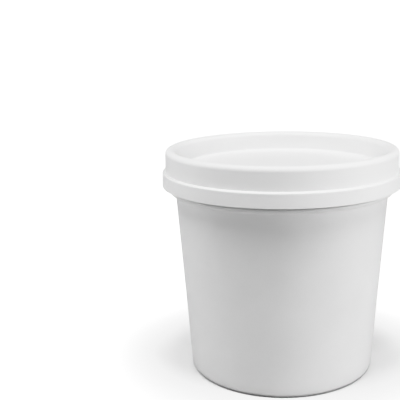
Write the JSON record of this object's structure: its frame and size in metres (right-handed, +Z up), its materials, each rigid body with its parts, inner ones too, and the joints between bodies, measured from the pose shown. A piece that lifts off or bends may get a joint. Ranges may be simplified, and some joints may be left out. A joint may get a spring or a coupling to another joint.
{
  "type": "paper food tub",
  "caption": "Tapered round white paper food tub, shut with a press-on lid whose flat panel is sunk for stacking.",
  "frame": {"origin": "on the floor, in the middle of the tub's foot", "axes": "+Z up along the axis of the tub; the side seam of the wall is on +Y, at the back"},
  "size_m": [0.102, 0.102, 0.097],
  "materials": {
    "coated_board": "white coated board, satin",
    "lid_plastic": "white moulded plastic, semi-matt"
  },
  "bodies": {
    "root": {"tub": "coated_board", "lid": "lid_plastic"}
  },
  "joints": []
}
